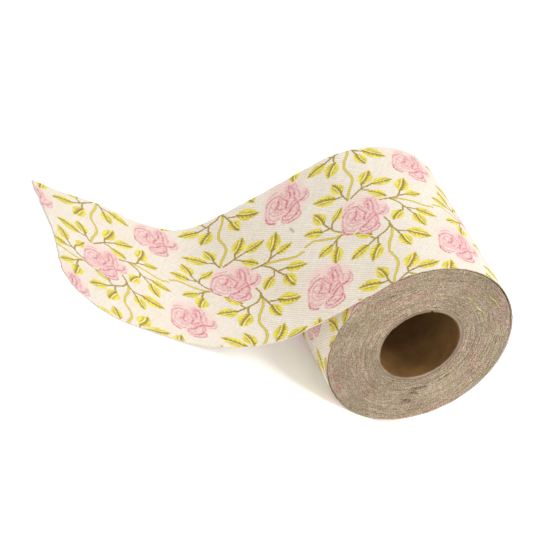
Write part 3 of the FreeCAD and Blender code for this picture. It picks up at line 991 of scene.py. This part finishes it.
def make_windings(edges):
    """About twelve metres of the cloth, wound on the core as one spiral sheet."""
    inside = CORE_OUTSIDE + STARTER
    pitch = (WOUND_OUTSIDE + WOUND_EASE - inside) / (WOUND_TURNS + 1)
    count = WOUND_TURNS * WOUND_STEPS + 1
    turn = np.arange(count) / WOUND_STEPS
    angle = WOUND_START + turn * 2 * math.pi
    radius = inside + pitch / 2 + turn * pitch
    half = (pitch - WOUND_GAP) / 2
    # near the core each layer steps up over the sheet's first edge, further out less and less
    layer = np.floor(turn).astype(int)
    part = turn - layer
    radius = radius - pitch * np.maximum(0, 1 - layer / STEP_LAYERS) * (part - smooth(0.85, 1, part))
    # each layer sits a little in or out of line with its neighbours, and wanders round the turn
    per_layer = np.random.default_rng(21).normal(0, 0.13 * MM, WOUND_TURNS + 2)
    blend = smooth(0, 1, part)
    step = per_layer[layer] * (1 - blend) + per_layer[layer + 1] * blend
    x, z = radius * np.cos(angle), radius * np.sin(angle)
    points = []
    for side, seed in ((-1, 31), (1, 57)):
        wander = waves(seed, radius, 5 * MM) * 0.2 * MM
        round_turn = waves(seed + 1, angle * ROLL / 3 + layer * 7.3 * MM, 4 * MM, count=8) * 0.12 * MM
        fray = np.random.default_rng(seed).normal(0, 0.13 * MM, count)
        edge = HALF_WIDTH + step + wander + round_turn + fray - 0.1 * MM
        if side < 0:
            scuff = scuff_depth(x, z)
            edge = edge - scuff
        shape = EDGE_SHAPE if side < 0 else EDGE_SHAPE[::-1]
        for across, down in shape:
            r = radius + across * half
            y = side * (edge + down * half * 2)
            points.append(np.stack([r * np.cos(angle), y, r * np.sin(angle)], axis=1))
    sides = len(points)
    ring = np.stack(points, axis=1).reshape(-1, 3)
    faces = grid_faces(count, sides, closed_columns=True)
    first = np.array([[3, 2, 5, 4], [2, 1, 6, 5], [1, 0, 7, 6]])
    last = first[:, ::-1] + (count - 1) * sides
    piece = mesh_object("cloth_windings", ring, np.concatenate([faces, first, last]))
    mesh = piece.data
    mesh.materials.append(edges)
    # weight of painted shade: 1 where each layer's edge rounds down into the gap beside the next, 0.6 on its
    # crest
    set_number(piece, "painted_edge_shade", np.tile([1, 0.6, 0.6, 1], count * 2))
    set_number(piece, "layer", np.repeat(turn, sides))
    set_number(piece, "scuff", np.repeat(scuff / MM, sides))
    run = np.concatenate([[0], np.cumsum(radius[1:] * 2 * math.pi / WOUND_STEPS)])
    set_number(piece, "run", np.repeat(run, sides))
    bake_windings(mesh, ring, sides)
    return piece, float(run[-1])


def bake_windings(mesh, ring, sides):
    """A flat layout that shows each end of the roll in one piece, and the hidden faces small."""
    corners = np.empty(len(mesh.loops), np.int32)
    mesh.loops.foreach_get("vertex_index", corners)
    place = ring[corners][:, [0, 2]]
    column = np.repeat(np.arange(len(mesh.polygons)) % sides, 4)
    disc = 0.289
    layout = place / ROLL * disc + 0.293
    far = (column >= 4) & (column <= 6)
    layout[far] += 0.414
    hidden = (column == 3) | (column == 7)
    layout[hidden] = place[hidden] / ROLL * 0.06 + np.array([0.9, 0.1])
    mesh.uv_layers.new(name="OFBake").data.foreach_set("uv", layout.astype(np.float32).ravel())


# ---------------------------------------------------------------- loose fibres
def make_fibres(name, roots, headings, lengths, width, curl, seed, material):
    """Fine curled fibres, each a three-sided thread that thins to its end."""
    pick = np.random.default_rng(seed)
    number, rings = len(roots), 4
    headings = headings / np.linalg.norm(headings, axis=1)[:, None]
    side = np.cross(headings, pick.normal(size=(number, 3)))
    side /= np.linalg.norm(side, axis=1)[:, None]
    third = np.cross(headings, side)
    bend = pick.normal(0, curl, (number, 2))
    points = np.empty((number, rings, 3, 3))
    for ring in range(rings):
        t = ring / (rings - 1)
        middle = roots + headings * (lengths * t)[:, None]
        middle = middle + side * (bend[:, 0] * lengths * t * t)[:, None]
        middle = middle + third * (bend[:, 1] * lengths * (t * t - t))[:, None]
        thick = width / 2 * (1 - 0.65 * t)
        for corner in range(3):
            a = corner * 2 * math.pi / 3
            points[:, ring, corner] = middle + (side * math.cos(a) + third * math.sin(a)) * thick
    base = (np.arange(number) * rings * 3)[:, None, None]
    faces = grid_faces(rings, 3, closed_columns=True)[None] + base
    piece = mesh_object(name, points.reshape(-1, 3), faces.reshape(-1, 4))
    piece.data.materials.append(material)
    set_number(piece, "shade", np.repeat(pick.uniform(0, 1, number), rings * 3))
    return piece


def face_fibres(number, material):
    """Fuzz over both ends of the roll."""
    pick = np.random.default_rng(77)
    r = np.sqrt(pick.uniform((CORE_OUTSIDE + 1 * MM) ** 2, (WOUND_OUTSIDE - 1.6 * MM) ** 2, number))
    angle = pick.uniform(0, 2 * math.pi, number)
    side = np.where(np.arange(number) % 2 == 0, -1.0, 1.0)
    roots = np.stack([r * np.cos(angle), side * (HALF_WIDTH - 0.25 * MM), r * np.sin(angle)], axis=1)
    along = angle + math.pi / 2 * pick.choice([-1, 1], number) + pick.normal(0, 0.5, number)
    out = side * pick.uniform(0.05, 0.45, number)
    headings = np.stack([np.cos(along), out, np.sin(along)], axis=1)
    lengths = pick.uniform(0.6, 2.0, number) * MM
    return make_fibres("end_fuzz", roots, headings, lengths, 0.1 * MM, 0.5, 78, material)


def scuff_fibres(number, material):
    """Threads pulled loose where the near end is scuffed."""
    pick = np.random.default_rng(91)
    which = pick.choice(len(SCUFFS), number, p=SCUFF_SHARE)
    chosen = np.array(SCUFFS)[which]
    lean = np.radians(chosen[:, 4])
    u = pick.normal(0, 0.55, number) * chosen[:, 2]
    v = pick.normal(0, 0.9, number) * chosen[:, 3]
    x = (chosen[:, 0] + u * np.cos(lean) - v * np.sin(lean)) * MM
    z = (chosen[:, 1] + u * np.sin(lean) + v * np.cos(lean)) * MM
    y = np.full(number, -HALF_WIDTH + 0.5 * MM)
    roots = np.stack([x, y, z], axis=1)
    along = lean + pick.normal(0, 0.6, number) + math.pi * pick.integers(0, 2, number)
    headings = np.stack([np.cos(along), -pick.uniform(0.1, 0.6, number), np.sin(along)], axis=1)
    lengths = pick.uniform(1.0, 3.2, number) * MM
    return make_fibres("loose_threads", roots, headings, lengths, 0.16 * MM, 0.7, 92, material)


# Two long threads that lie loose on the near end: the points each runs through, x and z.
STRAY_THREADS = (
    ((1.6, 35.6), (5.0, 35.2), (9.0, 33.6), (13.4, 32.0), (16.4, 31.7), (18.4, 31.0)),
    ((13.0, 41.3), (15.6, 40.2), (18.6, 39.9), (21.8, 38.2)),
)
STRAY_WIDTH = 0.36 * MM
STRAY_POINTS = 40
STRAY_SIDES = 6


def stray_threads(material):
    """The long loose threads, each a six-sided cord along its own curve."""
    points, faces, shade = [], [], []
    for number, line in enumerate(STRAY_THREADS):
        line = np.array(line) * MM
        share = np.linspace(0, len(line) - 1, STRAY_POINTS)
        x = np.interp(share, np.arange(len(line)), line[:, 0])
        z = np.interp(share, np.arange(len(line)), line[:, 1])
        kernel = np.ones(7) / 7
        x, z = (np.convolve(np.pad(v, 3, mode="edge"), kernel, mode="valid") for v in (x, z))
        x = x + waves(71 + number, x, 3 * MM) * 0.12 * MM
        out = -HALF_WIDTH - STRAY_WIDTH * (0.3 + 0.5 * np.sin(np.linspace(0, math.pi, STRAY_POINTS)))
        middle = np.stack([x, out, z], axis=1)
        along = np.gradient(middle, axis=0)
        along /= np.linalg.norm(along, axis=1)[:, None]
        side = np.cross(along, (0.0, -1.0, 0.0))
        side /= np.linalg.norm(side, axis=1)[:, None]
        up = np.cross(side, along)
        step = np.arange(STRAY_POINTS)
        thick = STRAY_WIDTH / 2 * np.minimum(1, np.minimum(step + 1, STRAY_POINTS - step) / 5)
        for corner in range(STRAY_SIDES):
            a = corner * 2 * math.pi / STRAY_SIDES
            ring = middle + (side * math.cos(a) + up * math.sin(a)) * thick[:, None]
            points.append(ring)
        faces.append(grid_faces(STRAY_SIDES, STRAY_POINTS, closed_rows=True) + len(shade))
        shade += [float(number)] * (STRAY_SIDES * STRAY_POINTS)
    piece = mesh_object("stray_threads", np.concatenate(points), np.concatenate(faces))
    piece.data.materials.append(material)
    set_number(piece, "shade", np.array(shade))
    return piece


def rim_fibres(rim, outward, up, number, material):
    """Short fibres along the cut edges of the strip."""
    pick = np.random.default_rng(61)
    which = pick.integers(0, len(rim), number)
    roots = rim[which]
    headings = outward[which] + pick.normal(0, 0.45, (number, 3)) + up[which] * 0.25
    # none of them leans in to the layer below
    rise = np.sum(headings * up[which], axis=1)[:, None]
    headings = headings + up[which] * (np.abs(rise) - rise)
    lengths = pick.uniform(0.3, 1.1, number) * MM
    return make_fibres("edge_fuzz", roots, headings, lengths, 0.07 * MM, 0.2, 62, material)


# ---------------------------------------------------------------- edges and fibres
STRAY_PALE = paint(228, 226, 186)
STRAY_GREEN = paint(186, 182, 92)
EDGE_LIGHT = paint(207, 189, 164)
EDGE_GREY = paint(178, 161, 142)
EDGE_PINK = paint(204, 140, 146)
EDGE_GREEN = paint(160, 152, 92)
EDGE_THREAD = paint(236, 222, 200)
EDGE_DARK = paint(100, 82, 58)
EDGE_BROWN = paint(153, 132, 106)
EDGE_DEEP = paint(96, 66, 38)
THREAD_ENDS = 1.1  # millimetres from one cut thread end to the next
ROSE_TURN = 0.34  # where along a repeat of the print the wound cloth begins
ROSE_REACH = 12.0  # millimetres either side of a rose that are pink on the cut edge
LEAF_AT = 23.0  # millimetres from a rose to the leaves beside it


def edge_material():
    """Cut edges of the wound cloth: raw thread ends, with a little of the print's colours."""
    material, g = new_material("cut_cloth_edges")
    place = g.position()
    layer = g.attribute("layer")
    painted_edge_shade = g.attribute("painted_edge_shade")
    scuff = g.attribute("scuff")
    run = g.attribute("run")
    run = g.times(run, 1000.0)
    x, _, z = g.separate(place)
    turned = g.math("ARCTAN2", z, x)
    ring = g.combine(g.times(layer, 0.5), g.sine(turned), g.math("COSINE", turned))
    band = g.noise(g.vector("MULTIPLY", ring, (0.45, 1.3, 1.3)), 1.0, 3.0, 0.6)
    broad = g.noise(place, 0.07, 2.0)
    middling = g.noise(place, 0.3, 3.0, 0.6)
    fleck = g.noise(place, 0.95, 4.0, 0.8)
    fine = g.noise(g.vector("ADD", place, (31.0, 7.0, 12.0)), 1.7, 2.0, 0.8)

    # the print's roses and leaves come by at the edge once in every repeat
    repeat = g.math("FRACT", g.times_plus(run, 1 / REPEAT_ALONG[0], ROSE_TURN))
    from_rose = g.times(g.absolute(g.plus(repeat, -0.5)), REPEAT_ALONG[0])
    from_leaf = g.absolute(g.plus(from_rose, -LEAF_AT))
    tint = g.noise(g.vector("MULTIPLY", ring, (1.3, 4.0, 4.0)), 1.0, 4.0, 0.7)
    pink = g.times(g.step(from_rose, ROSE_REACH, 0.5 * ROSE_REACH), g.step(tint, 0.4, 0.62))
    green = g.times(g.step(from_leaf, 8.0, 4.0), g.step(tint, 0.62, 0.42))

    jitter = g.times(g.noise(g.combine(g.times(run, 0.4), layer), 1.0, 2.0), 14.0)
    ends = g.sine(g.times_plus(run, 2 * math.pi / THREAD_ENDS, jitter))
    lit = g.step(ends, -0.5, 0.7)
    base = g.tint(g.step(band, 0.42, 0.58), EDGE_LIGHT, EDGE_GREY)
    base = g.tint(g.step(broad, 0.4, 0.6, 0.0, 0.5), base, EDGE_BROWN)
    base = g.tint(g.step(middling, 0.42, 0.58, 0.0, 0.5), base, EDGE_BROWN)
    base = g.tint(g.times(pink, 0.75), base, EDGE_PINK)
    base = g.tint(g.times(green, 0.6), base, EDGE_GREEN)
    base = g.tint(g.times(lit, g.step(fleck, 0.46, 0.62, 0.1, 0.85)), base, EDGE_THREAD)
    base = g.tint(g.step(fleck, 0.48, 0.36, 0.0, 0.6), base, EDGE_BROWN)
    base = g.tint(g.step(fine, 0.44, 0.34, 0.0, 0.75), base, EDGE_DARK)
    # painted shade: darker where the layers' edges round down into the gaps between them
    base = g.tint(g.step(painted_edge_shade, 0.66, 1.0, 0.0, 0.4), base, EDGE_DARK)
    # painted shade: the scuffed dents are darker brown the deeper they are
    base = g.tint(g.step(scuff, 0.15, 0.55, 0.0, 0.85), base, EDGE_DEEP)
    height = g.plus(g.times(lit, 0.5), g.noise(place, 1.6, 3.0, 0.75))
    finish_material(g, base, 0.95, height, depth=0.4, strength=1.0, sheen=0.1, specular=0.1)
    return material


def tail_edge_material():
    """The free end's cut edge, where it is one layer thick: pale thread ends."""
    material, g = new_material("cut_tail_edge")
    place = g.position()
    fleck = g.noise(place, 1.4, 3.0, 0.7)
    leafy = g.noise(place, 0.06, 2.0)
    base = g.tint(g.step(fleck, 0.4, 0.62, 0.0, 0.5), CREAM, THREAD_SHADE)
    base = g.tint(g.step(leafy, 0.56, 0.66, 0.0, 0.5), base, LEAF_GREEN)
    finish_material(g, base, 0.95, fleck, depth=0.1, specular=0.1)
    return material


def fibre_material(name, dull, bright, spot):
    material, g = new_material(name)
    shade = g.attribute("shade")
    place = g.position()
    base = g.tint(g.step(shade, 0.15, 0.5), dull, bright)
    base = g.tint(g.step(shade, 0.84, 0.9, 0.0, 0.8), base, spot)
    base = g.tint(g.step(g.noise(place, 3.0, 2.0), 0.4, 0.7, 0.0, 0.25), base, dull)
    finish_material(g, base, 0.9, specular=0.15)
    return material


def stray_material():
    """Leaf-coloured threads that have come away from the cut edge."""
    material, g = new_material("stray_thread")
    place = g.position()
    shade = g.attribute("shade")
    base = g.tint(g.step(g.noise(place, 0.35, 2.0), 0.42, 0.58), STRAY_PALE, STRAY_GREEN)
    base = g.tint(g.step(shade, 0.4, 0.6, 0.0, 0.35), base, LEAF_YELLOW)
    twist = g.noise(place, 4.0, 2.0)
    finish_material(g, base, 0.85, twist, depth=0.1, specular=0.15)
    return material


# ---------------------------------------------------------------- the core
CORE_STEPS = 180  # points round the tube
PLY = 0.4 * MM  # thickness of the paper
PLY_TWIST = 2 * math.pi / (96 * MM)  # the paper is wound in a helix
CUT_RAG = 0.06 * MM  # raggedness of its cut ends
NOTCH_AT = math.radians(114)  # a small tear in the near end of the core
NOTCH_DEEP = 1.1 * MM
NOTCH_HALF = 0.42 * MM  # half of its width


def make_tube(name, outer, material, seed, lip=0.0, seam=0.0, notch=0.0):
    """A paper tube about the Y axis; its grid follows the helix of the paper's seam."""
    inner = outer - PLY
    pick = np.random.default_rng(seed)
    near_end = -CORE_HALF + np.array([0.0, 0.15 * MM, 0.6 * MM])
    between = np.linspace(-CORE_HALF + 3 * MM, CORE_HALF - 3 * MM, 40)
    y = np.concatenate([near_end, between, -near_end[::-1]])
    around = np.arange(CORE_STEPS) * 2 * math.pi / CORE_STEPS
    angle = around[None, :] + y[:, None] * PLY_TWIST
    yy = np.repeat(y[:, None], CORE_STEPS, axis=1)
    ends = np.exp(-(CORE_HALF - np.abs(y)) / (1.2 * MM))[:, None]
    ragged = waves(seed, around * outer, 3 * MM)[None, :] * CUT_RAG
    ragged = ragged + pick.normal(0, 0.35, CORE_STEPS)[None, :] * CUT_RAG
    yy = yy + np.sign(yy) * ends * ragged
    away = np.angle(np.exp(1j * (angle - NOTCH_AT))) * inner
    torn_in = notch * np.exp(-((away / NOTCH_HALF) ** 2)) * np.exp(-(CORE_HALF + yy) / (2.0 * MM))
    yy = yy + np.where(yy < 0, torn_in, 0)
    inside = inner
    if seam:
        inside = inner + seam - seam * smooth(0, 4 * MM, around * inner)[None, :] * np.ones_like(yy)
    if lip:
        torn = np.maximum(waves(seed + 5, angle * inner, 4 * MM, count=9), 0)
        yy = yy - np.sign(yy) * ends * lip * torn
        inside = inside - ends * 0.25 * MM * torn
    walls = [
        np.stack([radius * np.cos(angle), yy, radius * np.sin(angle)], axis=-1) for radius in (outer, inside)
    ]
    points = np.concatenate([walls[0], walls[1][::-1]]).reshape(-1, 3)
    faces = grid_faces(2 * len(y), CORE_STEPS, closed_rows=True, closed_columns=True)
    piece = mesh_object(name, points, faces)
    piece.data.set_sharp_from_angle(angle=math.radians(40))
    piece.data.materials.append(material)
    return piece


def paper_material(name, dark, light, rim=None):
    """Matt paper or board; rim, where given, is a paler colour on its cut ends on the -x side of the tube:
    partly the torn paper's own colour, partly a painted highlight.
    """
    material, g = new_material(name)
    place = g.position()
    cloudy = g.noise(place, 0.07, 3.0, 0.5)
    fibre = g.noise(g.vector("MULTIPLY", place, (1.0, 0.22, 1.0)), 2.4, 4.0, 0.7)
    speck = g.noise(place, 3.2, 2.0, 0.6)
    base = g.tint(g.step(cloudy, 0.3, 0.7), dark, light)
    base = g.tint(g.step(fibre, 0.55, 0.75, 0.0, 0.4), base, light)
    base = g.tint(g.step(speck, 0.36, 0.26, 0.0, 0.5), base, dark)
    if rim:
        # paler cut ends near the core's ends, partly the torn paper's own colour; kept to the -x side of the
        # tube, so partly a painted highlight
        x, y, _ = g.separate(place)
        from_middle = g.absolute(y)
        cut = g.step(from_middle, CORE_HALF / MM - 0.35, CORE_HALF / MM - 0.1)
        cut = g.times(cut, g.step(g.noise(place, 0.12, 4.0, 0.65), 0.48, 0.6, 0.0, 0.9))
        cut = g.times(cut, g.step(x, 4.0, -8.0))
        base = g.tint(cut, base, rim)
    finish_material(g, base, 0.88, fibre, depth=0.08, strength=0.5, specular=0.25)
    return material


# ---------------------------------------------------------------- floor and light
FLOOR_GLOW = 0.22  # a light table: it keeps shadows faint
FLOOR_HALF = 6.0
FLOOR_DROP = 0.2 * MM  # below the lowest point of the roll


def make_floor():
    material, g = new_material("table")
    place = g.node("ShaderNodeNewGeometry").outputs["Position"]
    clouds = g.step(g.noise(place, 9.0, 2.0), 0.4, 0.6)
    base = g.tint(clouds, paint(250, 249, 247), paint(247, 246, 244))
    finish_material(g, base, 0.7, specular=0.1)
    lit = material.node_tree.nodes["Principled BSDF"]
    lit.inputs["Emission Color"].default_value = (1, 1, 1, 1)
    lit.inputs["Emission Strength"].default_value = FLOOR_GLOW
    corners = ((-1, -1), (1, -1), (1, 1), (-1, 1))
    points = [(x * FLOOR_HALF, y * FLOOR_HALF, FLOOR - FLOOR_DROP) for x, y in corners]
    floor = mesh_object("table_top", points, [(0, 1, 2, 3)])
    floor.data.materials.append(material)


def area_light(name, place, aim, size, power, tint=(1, 1, 1)):
    lamp = bpy.data.lights.new(name, "AREA")
    lamp.shape = "DISK"
    lamp.size = size
    lamp.energy = power
    lamp.color = tint
    holder = bpy.data.objects.new(name, lamp)
    holder.location = place
    holder.rotation_mode = "QUATERNION"
    holder.rotation_quaternion = (Vector(aim) - Vector(place)).to_track_quat("-Z", "Y")
    bpy.context.scene.collection.objects.link(holder)


def make_light():
    world = bpy.data.worlds.new("studio")
    world.use_nodes = True
    sky = world.node_tree.nodes["Background"]
    sky.inputs["Color"].default_value = (1.0, 0.99, 0.97, 1)
    sky.inputs["Strength"].default_value = 0.74
    bpy.context.scene.world = world
    area_light("key", (0.35, -0.5, 1.3), (-0.03, 0, 0), 1.0, 14.2, (1.0, 0.99, 0.98))
    area_light("fill", (-0.75, -1.35, 0.62), (-0.03, 0, 0), 1.0, 3.8, (0.99, 0.99, 1.0))
    bpy.context.scene.view_settings.view_transform = "Standard"


# ---------------------------------------------------------------- the pieces
EDGE_FIBRES, END_FIBRES, LOOSE_THREADS = 2600, 5200, 150


def add_strip(face, back, edges, fibre):
    """The printed outer turn and free tail, with the fibres along its cut edges."""
    strip, strip_length, strip_area, rim = make_strip(face, back, edges, tail_edge_material())
    edge_fuzz = rim_fibres(*rim, EDGE_FIBRES, fibre)
    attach(strip, "laid_cloth")
    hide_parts("outer_turn", "free_tail")
    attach(edge_fuzz, "laid_cloth")


def add_windings(edges, fibre):
    """The wound cloth, with the fibres and threads on its ends."""
    windings, windings_length = make_windings(edges)
    fuzz = face_fibres(END_FIBRES, fibre)
    loose = scuff_fibres(LOOSE_THREADS, fibre)
    stray = stray_threads(stray_material())
    for piece in (fuzz, loose, stray):
        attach(piece, "spool")
    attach(windings, "spool")
    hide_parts("wound_fabric")


def add_core():
    """The paper core's plies, from the inside out, and the tape on it."""
    kraft = paper_material("kraft_paper", paint(100, 70, 36), paint(124, 92, 50), rim=paint(160, 116, 68))
    board = paper_material("grey_board", paint(126, 111, 96), paint(152, 136, 119))
    liner = make_tube(
        "core_lining", LINER_OUTSIDE, kraft, seed=41, lip=0.5 * MM, seam=0.15 * MM, notch=NOTCH_DEEP
    )
    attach(liner, "spool")
    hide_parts("core_liner")
    for number in (1, 2, 3):
        node = f"core_ply_{number}"
        torn = NOTCH_DEEP if number < 3 else 0.0
        ply = make_tube(f"paper_ply_{number}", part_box(node)[1].z, board, seed=50 + number, notch=torn)
        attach(ply, "spool")
        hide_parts(node)
    wrap = make_tube("paper_wrap", CORE_OUTSIDE, board, seed=60)
    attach(wrap, "spool")
    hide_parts("core_wrap")
    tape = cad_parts["starter_tape"]
    tape.data.materials.clear()
    tape.data.materials.append(paper_material("starter_paper", paint(206, 196, 170), paint(224, 214, 190)))


def main():
    make_camera()
    make_light()
    make_floor()
    pattern, weave = print_group(), weave_group()
    face = cloth_material("printed_canvas", pattern, weave, 1.0)
    back = cloth_material("canvas_back", pattern, weave, 0.16)
    edges = edge_material()
    fibre = fibre_material("loose_fibre", EDGE_GREY, EDGE_THREAD, EDGE_PINK)
    pale_fibre = fibre_material("pale_fibre", CREAM_WARM, CREAM, THREAD_SHADE)
    add_strip(face, back, edges, pale_fibre)
    add_windings(edges, fibre)
    add_core()


main()
